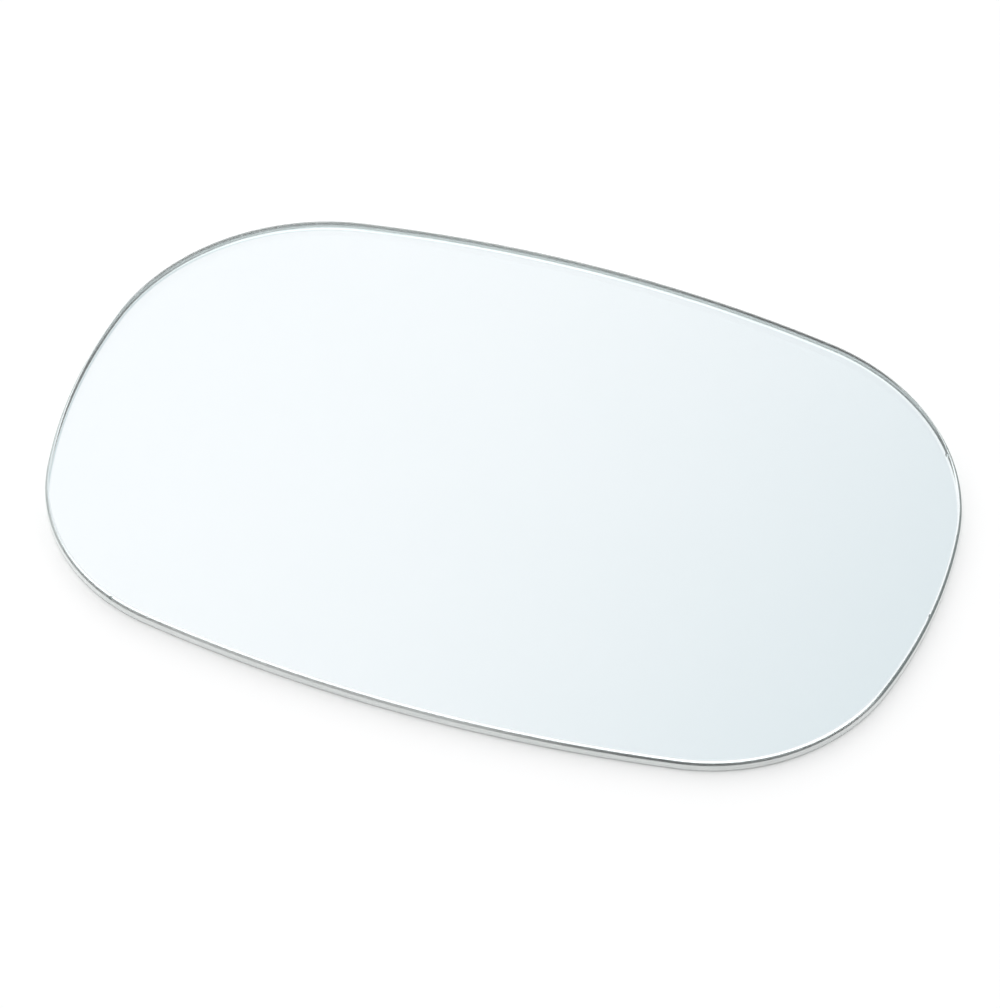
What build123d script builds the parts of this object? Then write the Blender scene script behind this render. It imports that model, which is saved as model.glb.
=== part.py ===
from build123d import *
import os

# Door mirror glass: one flat plate of silvered glass, cut to an oval outline and ground round its rim.
# It lies face up on its painted back, with X along its length, Y towards its top edge and Z through it.
# All sizes are in millimetres.

# Plate
length = 170.0
height = 115.0
thickness = 2.2

# Outline: each side is a shallow arc that touches the plate's box at its middle
top_side_radius = 268.0
bottom_side_radius = 305.0
end_side_radius = 105.0

# Outline: each corner is an arc that runs smoothly into its two sides
top_corner_radius = 45.0
bottom_corner_radius = 38.0

# Ground rim: the crowned wall, and the rounded arris that joins it to the mirror face and to the painted back
wall_crown_radius = 3.0
face_arris_radius = 0.65
back_arris_radius = 0.15

# Glass left outside the outline when the plate is cut, for the wheel to grind away
grinding_allowance = 0.5

os.makedirs("parts", exist_ok=True)


with BuildPart() as mirror_glass:
    # The outline is what the four side arcs enclose, so the two ends are alike and top and bottom differ
    with BuildSketch() as outline:
        with Locations((0, height / 2 - top_side_radius)):
            Circle(top_side_radius)
        with Locations((0, bottom_side_radius - height / 2)):
            Circle(bottom_side_radius, mode=Mode.INTERSECT)
        with Locations((end_side_radius - length / 2, 0)):
            Circle(end_side_radius, mode=Mode.INTERSECT)
        with Locations((length / 2 - end_side_radius, 0)):
            Circle(end_side_radius, mode=Mode.INTERSECT)
        fillet(outline.vertices().group_by(Axis.Y)[-1], top_corner_radius)
        fillet(outline.vertices().group_by(Axis.Y)[0], bottom_corner_radius)

    with BuildSketch() as blank:
        add(outline.sketch)
        offset(amount=grinding_allowance)
    extrude(to_extrude=blank.sketch, amount=thickness)

    # The wheel's hollow runs once round the outline and leaves the wall crowned, widest between the two arrises
    widest_level = (thickness - face_arris_radius + back_arris_radius) / 2
    across_rim = Plane(origin=(0, -height / 2, 0), x_dir=(0, -1, 0), z_dir=(-1, 0, 0))
    with BuildSketch(across_rim) as wheel:
        with Locations((0, thickness / 2)):
            Rectangle(4 * grinding_allowance, 2 * thickness)
        with Locations((-wall_crown_radius, widest_level)):
            Circle(wall_crown_radius, mode=Mode.SUBTRACT)
    sweep(sections=wheel.sketch, path=outline.wire(), mode=Mode.SUBTRACT)

    # A second pass takes the sharp arris off both faces
    fillet(mirror_glass.edges().group_by(Axis.Z)[-1], face_arris_radius)
    fillet(mirror_glass.edges().group_by(Axis.Z)[0], back_arris_radius)

mirror_glass.part.label = "mirror_glass"
export_step(mirror_glass.part, "parts/mirror_glass.step")
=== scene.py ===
"""Door mirror glass: a flat oval plate of clear glass with a ground rim, silvered and painted on its back.

The plate lies face up on a white table in soft light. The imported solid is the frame: the glass keeps its box
and its outline, and this script adds what the plain solid lacks, which is the glass itself, the marks of the
grinding wheel, the chips in the arris, the silver and the paint.
"""

import logging
import math
from dataclasses import dataclass, field
from enum import Enum
from typing import Any

import bmesh
import bpy
from mathutils import Matrix, Vector, geometry


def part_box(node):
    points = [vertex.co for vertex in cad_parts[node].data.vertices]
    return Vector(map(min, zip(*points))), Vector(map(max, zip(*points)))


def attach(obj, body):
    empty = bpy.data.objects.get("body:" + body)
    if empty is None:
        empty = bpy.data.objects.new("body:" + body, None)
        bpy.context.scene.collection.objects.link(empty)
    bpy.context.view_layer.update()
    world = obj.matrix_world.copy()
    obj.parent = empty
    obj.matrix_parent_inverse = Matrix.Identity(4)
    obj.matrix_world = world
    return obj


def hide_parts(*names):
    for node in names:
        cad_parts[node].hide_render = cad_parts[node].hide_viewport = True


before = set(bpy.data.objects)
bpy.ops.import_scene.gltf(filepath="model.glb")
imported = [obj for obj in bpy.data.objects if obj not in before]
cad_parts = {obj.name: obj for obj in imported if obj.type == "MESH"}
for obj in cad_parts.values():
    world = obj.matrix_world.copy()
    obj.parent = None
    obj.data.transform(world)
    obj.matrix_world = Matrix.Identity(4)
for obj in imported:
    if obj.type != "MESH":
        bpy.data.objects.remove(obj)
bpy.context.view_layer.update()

LOG = logging.getLogger("door_mirror_glass")
MM = 0.001
BODY = "root"
NODE = "mirror_glass"
GLASS_IOR = 1.52

Colour = tuple[float, float, float]
Triple = tuple[float, float, float]
Span = tuple[float, float]
Socket = bpy.types.NodeSocket


class Value:
    """A number that changes over a surface: a socket that takes part in Python arithmetic."""

    def __init__(self, graph: "Graph", socket: Socket) -> None:
        """Wraps a socket of a graph.

        Args:
            graph: The graph that new Math nodes are added to.
            socket: The output socket that holds the number.
        """
        self.graph = graph
        self.socket = socket

    def _math(self, operation: str, first: "Value | float", second: "Value | float") -> "Value":
        """Adds one Math node.

        Args:
            operation: The node's operation.
            first: Its first operand.
            second: Its second operand.

        Returns:
            The node's result.
        """
        node = self.graph.node("ShaderNodeMath", {"operation": operation}, {0: first, 1: second})
        return Value(self.graph, node.outputs[0])

    def __add__(self, other: "Value | float") -> "Value":
        """self + other."""
        return self._math("ADD", self, other)

    __radd__ = __add__

    def __sub__(self, other: "Value | float") -> "Value":
        """self - other."""
        return self._math("SUBTRACT", self, other)

    def __rsub__(self, other: "Value | float") -> "Value":
        """other - self."""
        return self._math("SUBTRACT", other, self)

    def __mul__(self, other: "Value | float") -> "Value":
        """self * other."""
        return self._math("MULTIPLY", self, other)

    __rmul__ = __mul__


@dataclass(frozen=True)
class Pattern:
    """A cloudy pattern that keeps its real size on every piece.

    Attributes:
        scale: Repeats per metre along X, Y and Z.
        detail: How many finer layers are laid over the first.
        turn: Rotation about the three axes in degrees.
    """

    scale: Triple
    detail: float = 3.0
    turn: Triple = (0.0, 0.0, 0.0)


class Graph:
    """A node tree that is written one call at a time.

    Attributes:
        MIX_COLOURS: Numbers of a Mix node's two sockets for colours, whose names repeat.
        MIX_RESULT: Number of its output for colours.
    """

    MIX_COLOURS = (6, 7)
    MIX_RESULT = 2

    def __init__(self, tree: bpy.types.NodeTree) -> None:
        """Starts from an emptied node tree.

        Args:
            tree: The tree of a material or of the world.
        """
        self.tree = tree
        tree.nodes.clear()

    def node(
        self,
        kind: str,
        settings: dict[str, Any] | None = None,
        inputs: dict[str | int, Any] | None = None,
    ) -> bpy.types.Node:
        """Adds a node, sets it up and then feeds its sockets.

        Args:
            kind: The node's type name.
            settings: Properties of the node, set first.
            inputs: Plain values, Values or output sockets, by socket name or number.

        Returns:
            The new node.
        """
        made = self.tree.nodes.new(kind)
        for name, setting in (settings or {}).items():
            setattr(made, name, setting)
        for key, given in (inputs or {}).items():
            source = given.socket if isinstance(given, Value) else given
            if isinstance(source, Socket):
                self.tree.links.new(source, made.inputs[key])
            else:
                made.inputs[key].default_value = source
        return made

    def places(self, scale: Triple, turn: Triple = (0.0, 0.0, 0.0)) -> Socket:
        """Object coordinates, stretched and turned.

        Args:
            scale: Units per metre along X, Y and Z.
            turn: Rotation about the three axes in degrees.

        Returns:
            The socket with the new coordinates.
        """
        where = self.node("ShaderNodeTexCoord")
        angles = tuple(math.radians(angle) for angle in turn)
        mapping = self.node(
            "ShaderNodeMapping",
            {"vector_type": "POINT"},
            {"Vector": where.outputs["Object"], "Rotation": angles, "Scale": scale},
        )
        return mapping.outputs["Vector"]

    def noise(self, pattern: Pattern) -> Value:
        """Draws a cloudy pattern between 0 and 1.

        Args:
            pattern: Its scale, detail and turn.

        Returns:
            The pattern's value.
        """
        made = self.node(
            "ShaderNodeTexNoise",
            {"noise_dimensions": "3D"},
            {"Vector": self.places(pattern.scale, pattern.turn), "Scale": 1.0, "Detail": pattern.detail},
        )
        return Value(self, made.outputs[0])

    def span(self, value: Value, source: Span, result: Span) -> Value:
        """Carries a stretch of values smoothly over to another stretch.

        Args:
            value: What is carried over.
            source: Start and end of the stretch that is read.
            result: What the start and the end become.

        Returns:
            The new value, held within the result's stretch.
        """
        low, high = source
        start, end = result
        inputs = {"Value": value, "From Min": low, "From Max": high, "To Min": start, "To Max": end}
        made = self.node("ShaderNodeMapRange", {"interpolation_type": "SMOOTHSTEP"}, inputs)
        return Value(self, made.outputs["Result"])

    def vector(self, operation: str, first: Any, second: Any) -> bpy.types.Node:
        """Adds one Vector Math node.

        Args:
            operation: The node's operation.
            first: Its first operand, a Value, a socket or three numbers.
            second: Its second operand, a Value, a socket or three numbers.

        Returns:
            The node.
        """
        return self.node("ShaderNodeVectorMath", {"operation": operation}, {0: first, 1: second})

    def blend(self, share: Value, first: Colour | Socket, second: Colour | Socket) -> Socket:
        """Mixes two colours.

        Args:
            share: How much of the second colour shows.
            first: The colour where share is 0.
            second: The colour where share is 1.

        Returns:
            The socket with the mixed colour.
        """
        shades = [(*shade, 1.0) if isinstance(shade, tuple) else shade for shade in (first, second)]
        inputs = {"Factor": share, **dict(zip(self.MIX_COLOURS, shades))}
        return self.node("ShaderNodeMix", {"data_type": "RGBA"}, inputs).outputs[self.MIX_RESULT]

    def bump(self, height: Value, strength: float, distance: float) -> Socket:
        """Turns a height into a normal.

        Args:
            height: The height, between 0 and 1.
            strength: How much of it shows.
            distance: The height in metres that 1 stands for.

        Returns:
            The socket with the normal.
        """
        inputs = {"Height": height, "Strength": strength, "Distance": distance}
        return self.node("ShaderNodeBump", None, inputs).outputs["Normal"]

    def principled(self, inputs: dict[str | int, Any]) -> Socket:
        """Adds a Principled shader and gives its result."""
        return self.node("ShaderNodeBsdfPrincipled", None, inputs).outputs["BSDF"]

    def surface(self, shader: Socket, kind: str = "ShaderNodeOutputMaterial") -> None:
        """Makes a shader the tree's result."""
        self.node(kind, None, {"Surface": shader})


def new_material(name: str) -> tuple[bpy.types.Material, Graph]:
    """Makes an empty material.

    Args:
        name: The material's name.

    Returns:
        The material and the graph of its nodes.
    """
    material = bpy.data.materials.new(name)
    material.use_nodes = True
    return material, Graph(material.node_tree)


@dataclass(frozen=True)
class PolishedGlass:
    """Clear float glass: a polished face with the faint haze that a cleaning cloth leaves.

    Attributes:
        thin_tint: Colour of the clearest places.
        deep_tint: Colour of the places with a trace more green.
        clean: Roughness where the polish is bare.
        wiped: Roughness of the wiped streaks.
        clouds: Pattern of the tint.
        wipes: Pattern of the streaks.
        hazy: Stretch of the streaks' pattern over which the haze comes in.
    """

    thin_tint: Colour = (0.972, 0.992, 0.994)
    deep_tint: Colour = (0.968, 0.990, 0.991)
    clean: float = 0.0
    wiped: float = 0.012
    clouds: Pattern = Pattern((28.0, 28.0, 28.0))
    wipes: Pattern = Pattern((26.0, 190.0, 60.0), detail=4.0, turn=(0.0, 0.0, 24.0))
    hazy: Span = (0.5, 0.8)

    def make(self) -> bpy.types.Material:
        """Makes the material.

        Returns:
            The new material.
        """
        material, graph = new_material("polished_glass")
        glass = graph.principled(
            {
                "Base Color": graph.blend(graph.noise(self.clouds), self.thin_tint, self.deep_tint),
                "Roughness": graph.span(graph.noise(self.wipes), self.hazy, (self.clean, self.wiped)),
                "IOR": GLASS_IOR,
                "Transmission Weight": 1.0,
            }
        )
        graph.surface(glass)
        return material


@dataclass(frozen=True)
class Patch:
    """A round patch in which the rim differs from the rest. Sizes in millimetres.

    Attributes:
        x: Its middle along the plate's length.
        y: Its middle along the plate's height.
        inner: Distance from its middle up to which it is full.
        outer: Distance from its middle at which it ends.
        strength: Its share where it is full.
    """

    x: float
    y: float
    inner: float
    outer: float
    strength: float

    def share(self, graph: Graph, place: Socket) -> Value:
        """Falls from the full strength to 0 with the distance from the middle.

        Args:
            graph: The material's graph.
            place: The socket with the coordinates in millimetres.

        Returns:
            The share.
        """
        flat = graph.vector("MULTIPLY", place, (1.0, 1.0, 0.0)).outputs[0]
        apart = graph.vector("DISTANCE", flat, (self.x, self.y, 0.0)).outputs["Value"]
        return graph.span(Value(graph, apart), (self.inner, self.outer), (self.strength, 0.0))


@dataclass(frozen=True)
class GroundGlass:
    """Glass as the grinding wheel left it: clear from within, frosted outside, with lines along the edge. It
    also carries painted shade: a dark line on parts of the face's arris, and shade towards the wall's foot
    seen from within.

    Attributes:
        bare: Colour of the light that passes the polished start of the arris.
        clear: Colour of the light that passes the smooth lines.
        clouded: Colour of the light that passes the rough ones.
        pale: Colour of the frosting.
        grey: Colour of the deep lines in it.
        shade_line_colour: Colour of the painted shade, a dark line on parts of the face's arris.
        foot_shade: Colour of the painted shade on the wall, seen only from within and darker towards the
            wall's foot.
        fine: Roughness of the face's arris.
        rough: Roughness of the wall.
        uneven: How much rougher the rough lines are.
        polish: Share of the roughness that is left where the arris starts.
        thin: Share of the frosting on the face's arris.
        full: Share of the frosting on the wall.
        mottle: How much the lines change the share of the frosting.
        within: Share of the painted shade at the wall's foot.
        wall_end: Heights in millimetres between which the wall's frosting ends.
        foot_shade_end: Heights in millimetres between which the painted shade at the foot ends.
        shade_line_end: Heights in millimetres between which the painted dark line ends.
        polish_start: Heights in millimetres between which the polish of the face starts.
        lines: Pattern of the wheel's lines.
        clouds: Pattern of the clouds among them.
        line_share: How much the lines count against the clouds.
        wear_limits: Stretch of the two patterns over which the lines turn from rough to smooth.
        worn: Where the face's arris is frosted more.
        foot_shade_patch: Where the wall's foot has more painted shade.
        shade_line: Where the painted dark line lies on the face's arris.
    """

    bare: Colour = (0.975, 0.985, 0.985)
    clear: Colour = (0.67, 0.755, 0.75)
    clouded: Colour = (0.455, 0.525, 0.52)
    pale: Colour = (0.95, 0.975, 0.965)
    grey: Colour = (0.85, 0.885, 0.875)
    # Painted shade: the colour of a dark line on parts of the face's arris.
    shade_line_colour: Colour = (0.12, 0.155, 0.155)
    # Painted shade: the colour of the wall as seen from within, darker towards its foot.
    foot_shade: Colour = (0.10, 0.105, 0.105)
    fine: float = 0.38
    rough: float = 0.70
    uneven: float = 0.08
    polish: float = 0.1
    thin: float = 0.13
    full: float = 1.0
    mottle: float = 0.1
    within: float = 0.60
    wall_end: Span = (1.38, 1.57)
    foot_shade_end: Span = (0.1, 0.9)
    shade_line_end: Span = (2.07, 2.13)
    polish_start: Span = (1.95, 2.19)
    lines: Pattern = Pattern((55.0, 55.0, 4200.0), detail=5.0)
    clouds: Pattern = Pattern((130.0, 130.0, 900.0), detail=2.0)
    line_share: float = 0.65
    wear_limits: Span = (0.36, 0.62)
    worn: Patch = Patch(x=-15.0, y=-56.0, inner=22.0, outer=62.0, strength=0.39)
    # Painted shade: the patch where the wall's foot is darker as seen from within.
    foot_shade_patch: Patch = Patch(x=62.0, y=48.0, inner=30.0, outer=70.0, strength=0.38)
    # Painted shade: where the dark line lies on the face's arris; the last patch is a dark dot at a chip.
    shade_line: tuple[Patch, ...] = (
        Patch(x=82.0, y=6.0, inner=30.0, outer=42.0, strength=0.88),
        Patch(x=-83.0, y=-18.0, inner=16.0, outer=32.0, strength=0.62),
        Patch(x=-59.1, y=-51.0, inner=0.3, outer=0.6, strength=0.88),
    )

    def make(self) -> bpy.types.Material:
        """Makes the material.

        Returns:
            The new material.
        """
        material, graph = new_material("ground_glass")
        place = graph.places((1.0 / MM, 1.0 / MM, 1.0 / MM))
        height = Value(graph, graph.node("ShaderNodeSeparateXYZ", None, {0: place}).outputs["Z"])
        inside = Value(graph, graph.node("ShaderNodeNewGeometry").outputs["Backfacing"])
        wall = graph.span(height, self.wall_end, (1.0, 0.0))
        matt = graph.span(height, self.polish_start, (1.0, self.polish))
        lines = graph.noise(self.lines) * self.line_share
        clouds = graph.noise(self.clouds) * (1.0 - self.line_share)
        wear = graph.span(lines + clouds, self.wear_limits, (1.0, 0.0))
        # Painted shade: a dark line in the band of the face's arris, within the given patches.
        band = graph.span(height, self.shade_line_end, (1.0, 0.0)) * (1.0 - wall)
        shade_line = sum(patch.share(graph, place) for patch in self.shade_line) * band
        arris = self.worn.share(graph, place) + self.thin
        frost_share = arris + (wear - 0.5) * self.mottle + wall * (self.full - arris)
        outer = frost_share + shade_line * (1.0 - frost_share)
        # Painted shade seen only from within: darker towards the wall's foot, with more of it in one patch.
        foot_shading = self.foot_shade_patch.share(graph, place) + self.within
        inner = graph.span(height, self.foot_shade_end, (1.0, 0.0)) * foot_shading
        glass = graph.principled(
            {
                "Base Color": graph.blend(matt, self.bare, graph.blend(wear, self.clear, self.clouded)),
                "Roughness": (self.fine + wall * (self.rough - self.fine) + wear * self.uneven) * matt,
                "IOR": GLASS_IOR,
                "Transmission Weight": 1.0,
            }
        )
        # The frosting's colour, with the painted shade of that dark line mixed in.
        frosting = graph.blend(shade_line, graph.blend(wear, self.pale, self.grey), self.shade_line_colour)
        frosted = graph.principled(
            {
                "Base Color": graph.blend(inside, frosting, self.foot_shade),
                "Roughness": 1.0,
                "Specular IOR Level": 0.0,
            }
        )
        share = outer + inside * (inner - outer)
        mixed = graph.node("ShaderNodeMixShader", None, {0: share, 1: glass, 2: frosted})
        graph.surface(mixed.outputs[0])
        return material


@dataclass(frozen=True)
class Silver:
    """The silver behind the glass, which makes it a mirror.

    Attributes:
        bright: Colour of the reflection.
        dull: Colour where the film is a trace thinner.
        blur: Roughness of the film.
        film: Pattern of the film.
    """

    bright: Colour = (0.955, 0.972, 0.978)
    dull: Colour = (0.945, 0.964, 0.971)
    blur: float = 0.0
    film: Pattern = Pattern((45.0, 45.0, 45.0), detail=2.0)

    def make(self) -> bpy.types.Material:
        """Makes the material.

        Returns:
            The new material.
        """
        material, graph = new_material("silver_film")
        colour = graph.blend(graph.noise(self.film), self.bright, self.dull)
        graph.surface(graph.principled({"Base Color": colour, "Metallic": 1.0, "Roughness": self.blur}))
        return material


@dataclass(frozen=True)
class BackPaint:
    """The grey paint that keeps the silver from tarnishing, flowed on and slightly rippled.

    Attributes:
        light: Colour of the thick places.
        dark: Colour of the thin places.
        gloss: Roughness of the ripples' low and high places.
        ior: Refractive index of the paint.
        ripple: How much of the ripples' height shows.
        ripple_height: Height of the ripples in metres.
        flow: Pattern of the paint's flow.
        peel: Pattern of the ripples.
        grit: Pattern of the grains in the paint.
        flow_share: How much the flow counts against the grains.
        tone_limits: Stretch of flow and grains over which the colour changes.
        peel_limits: Stretch of the ripples over which the gloss changes.
    """

    light: Colour = (0.312, 0.327, 0.337)
    dark: Colour = (0.288, 0.303, 0.313)
    gloss: Span = (0.42, 0.58)
    ior: float = 1.48
    ripple: float = 0.4
    ripple_height: float = 0.00003
    flow: Pattern = Pattern((18.0, 90.0, 18.0), detail=4.0)
    peel: Pattern = Pattern((700.0, 700.0, 700.0), detail=2.0)
    grit: Pattern = Pattern((3600.0, 3600.0, 3600.0), detail=1.0)
    flow_share: float = 0.7
    tone_limits: Span = (0.35, 0.65)
    peel_limits: Span = (0.3, 0.7)

    def make(self) -> bpy.types.Material:
        """Makes the material.

        Returns:
            The new material.
        """
        material, graph = new_material("back_paint")
        peel = graph.noise(self.peel)
        flow = graph.noise(self.flow) * self.flow_share
        grit = graph.noise(self.grit) * (1.0 - self.flow_share)
        tone = graph.span(flow + grit, self.tone_limits, (0.0, 1.0))
        paint = graph.principled(
            {
                "Base Color": graph.blend(tone, self.light, self.dark),
                "Roughness": graph.span(peel, self.peel_limits, self.gloss),
                "IOR": self.ior,
                "Normal": graph.bump(peel, self.ripple, self.ripple_height),
            }
        )
        graph.surface(paint)
        return material


@dataclass(frozen=True)
class TableTop:
    """The white table that the glass lies on.

    Attributes:
        white: Its colour.
        matt: Its roughness.
        gleam: Strength of its reflection.
    """

    white: Colour = (0.97, 0.97, 0.97)
    matt: float = 0.9
    gleam: float = 0.1

    def make(self) -> bpy.types.Material:
        """Makes the material.

        Returns:
            The new material.
        """
        material, graph = new_material("table_top")
        board = {"Base Color": (*self.white, 1.0), "Roughness": self.matt, "Specular IOR Level": self.gleam}
        graph.surface(graph.principled(board))
        return material


def new_object(name: str, mesh: bmesh.types.BMesh, materials: list[bpy.types.Material]) -> bpy.types.Object:
    """Turns a mesh into an object of the scene.

    Args:
        name: The object's name.
        mesh: Its mesh, which is used up.
        materials: The materials that its faces name.

    Returns:
        The object, at the origin.
    """
    data = bpy.data.meshes.new(name)
    mesh.to_mesh(data)
    mesh.free()
    for material in materials:
        data.materials.append(material)
    made = bpy.data.objects.new(name, data)
    bpy.context.scene.collection.objects.link(made)
    return made


def new_piece(name: str, mesh: bmesh.types.BMesh, materials: list[bpy.types.Material]) -> bpy.types.Object:
    """Turns a mesh into a piece of the part.

    Args:
        name: The piece's name.
        mesh: Its mesh, which is used up.
        materials: The materials that its faces name.

    Returns:
        The piece, riding on the part's body.
    """
    piece = new_object(name, mesh, materials)
    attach(piece, BODY)
    return piece


@dataclass(frozen=True)
class Arc:
    """One stretch of the outline.

    Attributes:
        centre: Where it turns about, in millimetres.
        radius: Its radius in millimetres.
        turn: How far it goes round, in radians.
    """

    centre: Vector
    radius: float
    turn: float


@dataclass(frozen=True)
class Outline:
    """The plate's oval: four shallow side arcs and the corner arcs that join them. All sizes in millimetres.

    Attributes:
        length: From end to end.
        height: From the bottom side to the top side.
        top_radius: Radius of the top side.
        bottom_radius: Radius of the bottom side.
        end_radius: Radius of the two ends.
        top_corner: Radius of the two top corners.
        bottom_corner: Radius of the two bottom corners.
        step: Length of each edge along the outline.
        seam: Distance within which the two halves are joined.
    """

    length: float
    height: float
    top_radius: float = 268.0
    bottom_radius: float = 305.0
    end_radius: float = 105.0
    top_corner: float = 45.0
    bottom_corner: float = 38.0
    step: float = 0.3
    seam: float = 0.03

    @staticmethod
    def _corner(side: Vector, side_reach: float, end: Vector, end_reach: float, sign: int) -> Vector:
        """Finds the centre of the arc that touches a long side and an end from within.

        Args:
            side: Centre of the long side's arc.
            side_reach: Distance of the corner's centre from it.
            end: Centre of the end's arc.
            end_reach: Distance of the corner's centre from it.
            sign: 1 for a corner at the top and -1 for one at the bottom.

        Returns:
            The centre on the right half of the plate.
        """
        found = geometry.intersect_sphere_sphere_2d(side, side_reach, end, end_reach)
        return max(found, key=lambda point: point.x + sign * point.y)

    def right_half(self) -> list[Arc]:
        """Lists the arcs from the middle of the bottom side round the right end to the middle of the top.

        Returns:
            The five arcs.
        """
        top = Vector((0.0, self.height / 2 - self.top_radius))
        bottom = Vector((0.0, self.bottom_radius - self.height / 2))
        end = Vector((self.length / 2 - self.end_radius, 0.0))
        low = self._corner(
            bottom, self.bottom_radius - self.bottom_corner, end, self.end_radius - self.bottom_corner, -1
        )
        high = self._corner(top, self.top_radius - self.top_corner, end, self.end_radius - self.top_corner, 1)
        spans = (
            (bottom, self.bottom_radius, low - bottom),
            (low, self.bottom_corner, low - end),
            (end, self.end_radius, high - end),
            (high, self.top_corner, high - top),
            (top, self.top_radius, Vector((0.0, 1.0))),
        )
        arcs = []
        facing = -math.pi / 2
        for centre, radius, way in spans:
            reached = math.atan2(way.y, way.x)
            arcs.append(Arc(centre, radius, reached - facing))
            facing = reached
        return arcs

    def plate(self, section: list[Vector]) -> bmesh.types.BMesh:
        """Runs a section round the outline and closes it above and below.

        Args:
            section: Its points from the top down, each as the distance outside the outline and the height.

        Returns:
            The closed mesh.
        """
        mesh = bmesh.new()
        line = [mesh.verts.new((0.0, -self.height / 2 - spot.x, spot.y)) for spot in section]
        last = line + [mesh.edges.new(pair) for pair in zip(line, line[1:])]
        for arc in self.right_half():
            steps = max(1, round(arc.radius * arc.turn / self.step))
            spun = bmesh.ops.spin(
                mesh, geom=last, cent=(*arc.centre, 0.0), axis=(0.0, 0.0, 1.0), angle=arc.turn, steps=steps
            )
            last = spun["geom_last"]
        half = mesh.verts[:] + mesh.edges[:] + mesh.faces[:]
        bmesh.ops.mirror(mesh, geom=half, matrix=Matrix.Identity(4), axis="X", merge_dist=self.seam)
        bmesh.ops.holes_fill(mesh, edges=[edge for edge in mesh.edges if edge.is_boundary], sides=0)
        bmesh.ops.recalc_face_normals(mesh, faces=mesh.faces[:])
        bmesh.ops.scale(mesh, vec=(MM, MM, MM), verts=mesh.verts[:])
        return mesh


@dataclass(frozen=True)
class Rim:
    """The ground rim in section: a crowned wall with an arris above and below it. All sizes in millimetres.

    Attributes:
        top: Height of the face.
        crown: Radius of the wall's crown.
        widest: Height at which the wall reaches the outline.
        face_arris: Radius of the arris round the face.
        back_arris: Radius of the arris round the back.
        arris_rows: Rows of faces on each arris.
        wall_rows: Rows of faces on the wall.
    """

    top: float
    crown: float = 2.0
    widest: float = 0.85
    face_arris: float = 0.65
    back_arris: float = 0.15
    arris_rows: int = 9
    wall_rows: int = 14

    def _middle(self, level: float, radius: float) -> Vector:
        """Finds the middle of an arris that runs smoothly into the wall.

        Args:
            level: Height of its middle.
            radius: Its radius.

        Returns:
            The middle, as the distance outside the outline and the height.
        """
        aside = math.sqrt((self.crown - radius) ** 2 - (level - self.widest) ** 2)
        return Vector((aside - self.crown, level))

    def face_middle(self) -> Vector:
        """Finds the middle of the face's arris, as the distance outside the outline and the height."""
        return self._middle(self.top - self.face_arris, self.face_arris)

    def section(self, low: float) -> list[Vector]:
        """Lists the points of the section from the face down.

        Args:
            low: Height at which the section ends, on the arris of the back.

        Returns:
            The points, each as the distance outside the outline and the height.
        """
        wall = Vector((-self.crown, self.widest))
        above = self.face_middle()
        below = self._middle(self.back_arris, self.back_arris)
        upper = math.atan2(above.y - wall.y, above.x - wall.x)
        lower = math.atan2(below.y - wall.y, below.x - wall.x)
        foot = -math.asin((self.back_arris - low) / self.back_arris)
        arcs = (
            (above, self.face_arris, math.pi / 2, upper, self.arris_rows),
            (wall, self.crown, upper, lower, self.wall_rows),
            (below, self.back_arris, lower, foot, self.arris_rows),
        )
        points = [above + Vector((0.0, self.face_arris))]
        for middle, radius, start, end, rows in arcs:
            turns = [start + (end - start) * row / rows for row in range(1, rows + 1)]
            points += [middle + Vector((math.cos(turn), math.sin(turn))) * radius for turn in turns]
        return points


@dataclass(frozen=True)
class Chip:
    """A shell-shaped flake that broke out of the face's arris. All sizes in millimetres.

    Attributes:
        x: Its place along the plate's length.
        y: Its place along the plate's height.
        depth: How deep it is.
        hollow: Radius of the shell.
    """

    x: float
    y: float
    depth: float
    hollow: float


class GlassZone(Enum):
    """The parts of the glass plate's surface, by the number of their material."""

    POLISHED = 0
    GROUND = 1


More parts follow.
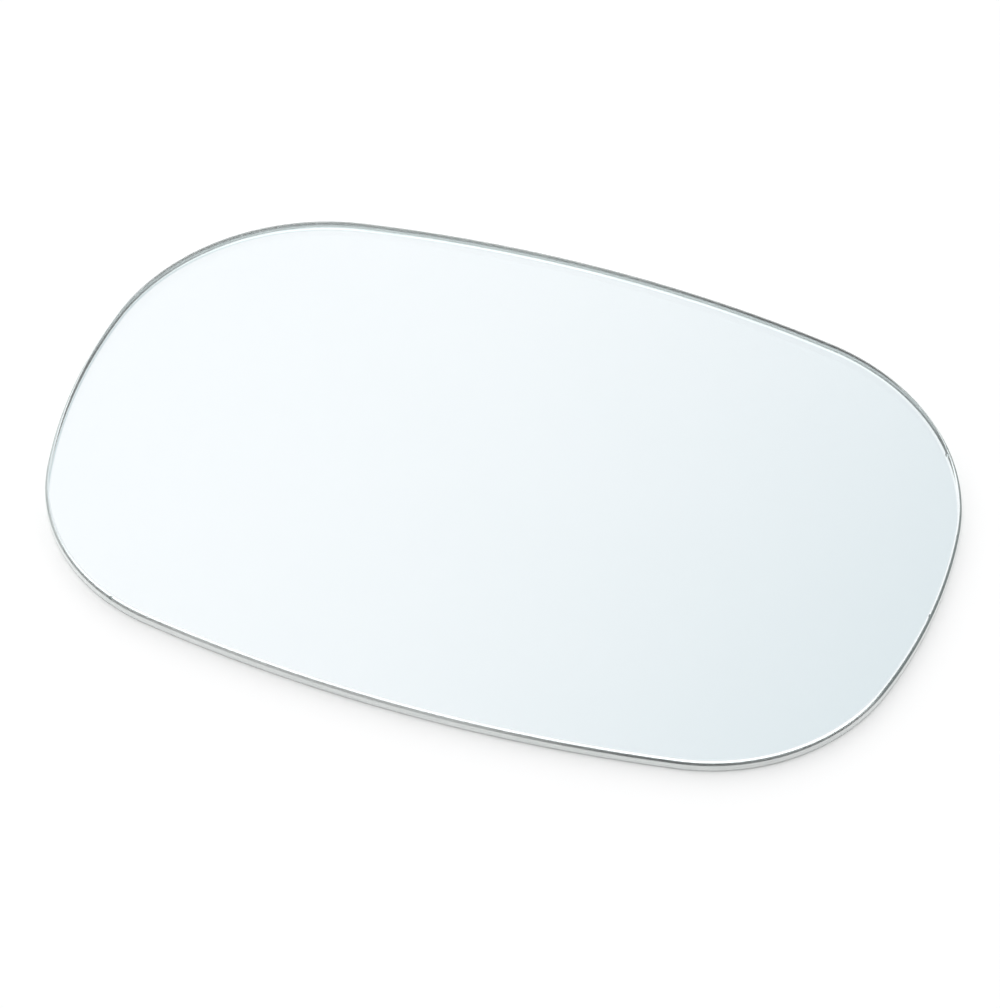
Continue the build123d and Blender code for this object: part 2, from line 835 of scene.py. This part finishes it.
@dataclass
class GlassPlate:
    """The plate of clear glass with its ground rim. Sizes in millimetres.

    Attributes:
        outline: The outline of the plate.
        rim: The section of its rim.
        low: Height of its underside.
        flat: Upward or downward share of the normal above which a face is flat.
        upright: Upward or downward share of the normal below which the wall stands upright.
        level: Distance from the face within which a point counts as on it.
        cuts: Cuts across each edge where a flake broke out.
        chips: The flakes that broke out of its arris.
    """

    outline: Outline
    rim: Rim
    low: float
    flat: float = 0.9999
    upright: float = 0.1
    level: float = 0.0003
    cuts: int = 2
    chips: tuple[Chip, ...] = (
        Chip(x=75.3, y=35.1, depth=0.08, hollow=2.2),
        Chip(x=83.7, y=14.7, depth=0.07, hollow=1.0),
        Chip(x=85.0, y=7.6, depth=0.06, hollow=0.8),
        Chip(x=85.1, y=-5.2, depth=0.15, hollow=1.2),
        Chip(x=-59.1, y=-51.0, depth=0.14, hollow=0.25),
        Chip(x=-50.9, y=-53.5, depth=0.06, hollow=0.5),
        Chip(x=-35.0, y=54.1, depth=0.05, hollow=0.4),
    )

    def build(self) -> bpy.types.Object:
        """Models the plate.

        Returns:
            The finished piece, riding on the part's body.
        """
        mesh = self.outline.plate(self.rim.section(self.low))
        for face in mesh.faces:
            ground = abs(face.normal.z) < self.flat
            face.smooth = ground
            face.material_index = (GlassZone.GROUND if ground else GlassZone.POLISHED).value
        for chip in self.chips:
            self._break_out(mesh, chip)
        return new_piece("glass_plate", mesh, [PolishedGlass().make(), GroundGlass().make()])

    def _break_out(self, mesh: bmesh.types.BMesh, chip: Chip) -> None:
        """Hollows the rim where a flake broke out.

        Args:
            mesh: The plate's mesh.
            chip: The flake.
        """
        mesh.normal_update()
        spot = Vector((chip.x, chip.y)) * MM
        wall = [vert for vert in mesh.verts if abs(vert.normal.z) < self.upright]
        beside = min(wall, key=lambda vert: (vert.co.xy - spot).length)
        outward = Vector((beside.normal.x, beside.normal.y, 0.0)).normalized()
        slope = (outward + Vector((0.0, 0.0, 1.0))).normalized()
        round_at = self.rim.face_middle()
        arris = Vector((beside.co.x, beside.co.y, round_at.y * MM)) + outward * round_at.x * MM
        middle = arris + slope * (self.rim.face_arris + chip.hollow - chip.depth) * MM
        reach = chip.hollow * MM
        near = [edge for edge in mesh.edges if any((vert.co - middle).length < reach for vert in edge.verts)]
        bmesh.ops.subdivide_edges(mesh, edges=near, cuts=self.cuts, use_grid_fill=True)
        top = self.rim.top * MM
        for vert in [vert for vert in mesh.verts if (vert.co - middle).length < reach]:
            way = vert.co - middle
            if top - vert.co.z < self.level * MM:
                across = math.sqrt(reach**2 - (top - middle.z) ** 2)
                vert.co = middle + Vector((way.x, way.y, 0.0)).normalized() * across
                vert.co.z = top
            else:
                vert.co = middle + way.normalized() * reach


class CoatZone(Enum):
    """The parts of the coat's surface, by the number of their material."""

    SILVER = 0
    PAINT = 1


@dataclass
class Coat:
    """The silver on the back of the glass and the paint behind it. Sizes in millimetres.

    Attributes:
        outline: The outline of the plate.
        rim: The section of its rim.
        thick: Thickness of silver and paint.
        upward: Upward share of the normal above which a face is silver.
    """

    outline: Outline
    rim: Rim
    thick: float
    upward: float = 0.9

    def build(self) -> bpy.types.Object:
        """Models the coat: silver above, paint below and round the edge.

        Returns:
            The finished piece, riding on the part's body.
        """
        mesh = self.outline.plate([self.rim.section(self.thick)[-1], self.rim.section(0.0)[-1]])
        for face in mesh.faces:
            face.material_index = (CoatZone.SILVER if face.normal.z > self.upward else CoatZone.PAINT).value
        return new_piece("silvered_back", mesh, [Silver().make(), BackPaint().make()])


@dataclass
class MirrorGlass:
    """The whole part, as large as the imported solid. Sizes in millimetres.

    Attributes:
        coat: Thickness of silver and paint.
        gap: Air between the coat and the glass.
        decimals: Decimals to which the solid's size is taken, because its facets cut it slightly short.
        outline: The plate's outline.
        rim: The section of its ground rim.
    """

    coat: float = 0.05
    gap: float = 0.01
    decimals: int = 1
    outline: Outline = field(init=False)
    rim: Rim = field(init=False)

    def __post_init__(self) -> None:
        """Takes the plate's length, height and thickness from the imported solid."""
        low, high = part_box(NODE)
        length, height, top = (round(size / MM, self.decimals) for size in high - low)
        self.outline = Outline(length, height)
        self.rim = Rim(top)

    def build(self) -> list[bpy.types.Object]:
        """Builds the glass and the coat on its back.

        Returns:
            The finished pieces.
        """
        glass = GlassPlate(self.outline, self.rim, self.coat + self.gap).build()
        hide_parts(NODE)
        coat = Coat(self.outline, self.rim, self.coat).build()
        return [glass, coat]


@dataclass(frozen=True)
class PhotoCamera:
    """A long lens that looks down on the plate. Lengths in millimetres and angles in degrees.

    Attributes:
        azimuth: How far the camera stands round to the right.
        elevation: How high it stands.
        plate_width: The plate's length in the picture, in pixels.
        focal: Distance of the eye from the picture, in pixels.
        picture_width: Width of the picture in pixels.
        sensor: Width of the sensor.
        aside: How far the picture's middle lies to the left of the plate's.
        nearer: How far it lies in front of the plate's middle.
        nearest: Distance from which on the camera sees anything.
    """

    azimuth: float = 19.37
    elevation: float = 49.26
    plate_width: float = 914.4
    focal: float = 7000.0
    picture_width: float = 1000.0
    sensor: float = 36.0
    aside: float = 0.90
    nearer: float = 5.87
    nearest: float = 10.0

    def place(self, length: float, level: float) -> bpy.types.Object:
        """Sets the camera up.

        Args:
            length: Length of the plate.
            level: Height of the plate's face.

        Returns:
            The camera.
        """
        azimuth, elevation = math.radians(self.azimuth), math.radians(self.elevation)
        right = Vector((math.cos(azimuth), math.sin(azimuth), 0.0))
        away = Vector((-math.sin(azimuth), math.cos(azimuth), 0.0))
        back = -away * math.cos(elevation) + Vector((0.0, 0.0, math.sin(elevation)))
        target = Vector((0.0, 0.0, level)) - right * self.aside - away * self.nearer
        data = bpy.data.cameras.new("camera")
        data.sensor_fit = "HORIZONTAL"
        data.sensor_width = self.sensor
        data.lens = self.focal * self.sensor / self.picture_width
        data.clip_start = self.nearest * MM
        camera = bpy.data.objects.new("camera", data)
        camera.location = (target + back * (self.focal * length / self.plate_width)) * MM
        camera.rotation_euler = back.to_track_quat("Z", "Y").to_euler()
        bpy.context.scene.collection.objects.link(camera)
        bpy.context.scene.camera = camera
        return camera


@dataclass(frozen=True)
class Lamp:
    """A soft patch of light in the room's walls or ceiling. Angles in degrees.

    Attributes:
        bearing: How far to the left it stands of straight behind the plate, as the camera sees it.
        height: How high it stands over the table.
        reach: How far its light reaches from its middle.
        gain: Brightness that it adds in its middle.
    """

    bearing: float
    height: float
    reach: float
    gain: float

    def way(self, azimuth: float) -> Triple:
        """Gives the direction of its middle.

        Args:
            azimuth: How far the camera stands round to the right.

        Returns:
            The direction as a unit vector.
        """
        turn = math.radians(azimuth + self.bearing)
        height = math.radians(self.height)
        return (-math.sin(turn) * math.cos(height), math.cos(turn) * math.cos(height), math.sin(height))


@dataclass(frozen=True)
class Studio:
    """A white table in a white room, brighter on the left and lit most from behind.

    Attributes:
        azimuth: How far the camera stands round to the right, in degrees.
        table_size: Side of the table top in metres.
        table_gap: How far the table top lies under the plate, in metres.
        white: Brightness of the bright side of the room.
        dim: Brightness of the dim side.
        dim_way: Direction of the dim side.
        dim_limits: Cosines to that direction between which the room grows dim.
        seen_white: Colour of the bright side in the part of the room that the face mirrors.
        seen_dim: Colour of the dim side there.
        seen_way: Direction of that part.
        seen_limits: Angles from that direction between which its colours end, in degrees.
        lamps: The patches of light.
    """

    azimuth: float
    table_size: float = 8.0
    table_gap: float = 0.00003
    white: float = 1.05
    dim: float = 0.66
    dim_way: Triple = (0.914, -0.143, 0.381)
    dim_limits: Span = (-0.054, 0.185)
    seen_white: Colour = (1.057, 1.042, 1.055)
    seen_dim: Colour = (0.585, 0.675, 0.710)
    seen_way: Triple = (-0.2176, 0.6190, 0.7547)
    seen_limits: Span = (8.0, 20.0)
    lamps: tuple[Lamp, ...] = (
        Lamp(bearing=0.0, height=12.0, reach=31.0, gain=1.72),
        Lamp(bearing=48.0, height=20.0, reach=43.0, gain=0.55),
        Lamp(bearing=-60.0, height=35.0, reach=39.0, gain=0.69),
        Lamp(bearing=0.0, height=88.0, reach=33.0, gain=1.08),
        Lamp(bearing=180.0, height=0.0, reach=90.0, gain=-0.45),
    )

    @staticmethod
    def _share(graph: Graph, ray: Socket, way: Triple, cosines: Span) -> Value:
        """Rises smoothly from 0 to 1 as a ray turns towards a direction.

        Args:
            graph: The world's graph.
            ray: The ray's direction.
            way: The direction that it is compared with.
            cosines: Cosines at which the result is 0 and 1.

        Returns:
            The share between 0 and 1.
        """
        dot = graph.vector("DOT_PRODUCT", ray, tuple(Vector(way).normalized()))
        return graph.span(Value(graph, dot.outputs["Value"]), cosines, (0.0, 1.0))

    def light(self) -> None:
        """Lights the room."""
        world = bpy.data.worlds.new("white_room")
        world.use_nodes = True
        graph = Graph(world.node_tree)
        ray = graph.node("ShaderNodeTexCoord").outputs["Generated"]
        dimmed = self._share(graph, ray, self.dim_way, self.dim_limits)
        plain = graph.blend(dimmed, (self.white,) * 3, (self.dim,) * 3)
        tinted = graph.blend(dimmed, self.seen_white, self.seen_dim)
        inner, outer = (math.cos(math.radians(angle)) for angle in self.seen_limits)
        room = graph.blend(self._share(graph, ray, self.seen_way, (outer, inner)), plain, tinted)
        for lamp in self.lamps:
            edge = math.cos(math.radians(lamp.reach))
            glow = self._share(graph, ray, lamp.way(self.azimuth), (edge, 1.0)) * lamp.gain
            room = graph.vector("ADD", glow, room).outputs[0]
        sky = graph.node("ShaderNodeBackground", None, {"Color": room, "Strength": 1.0})
        graph.surface(sky.outputs[0], "ShaderNodeOutputWorld")
        bpy.context.scene.world = world
        bpy.context.scene.view_settings.view_transform = "Standard"

    def lay_table(self) -> bpy.types.Object:
        """Lays the table top under the plate.

        Returns:
            The table top, which isn't part of the object.
        """
        mesh = bmesh.new()
        bmesh.ops.create_grid(mesh, x_segments=1, y_segments=1, size=self.table_size / 2)
        bmesh.ops.translate(mesh, verts=mesh.verts[:], vec=(0.0, 0.0, -self.table_gap))
        table = new_object("table_top", mesh, [TableTop().make()])
        return table


def main() -> None:
    """Builds the part, the table, the light and the camera."""
    logging.basicConfig(level=logging.INFO, format="%(name)s: %(message)s")
    part = MirrorGlass()
    for piece in part.build():
        LOG.info("%s has %d faces", piece.name, len(piece.data.polygons))
    camera = PhotoCamera()
    studio = Studio(camera.azimuth)
    studio.light()
    LOG.info("%s is laid", studio.lay_table().name)
    LOG.info("%s is placed", camera.place(part.outline.length, part.rim.top).name)


if __name__ == "__main__":
    main()
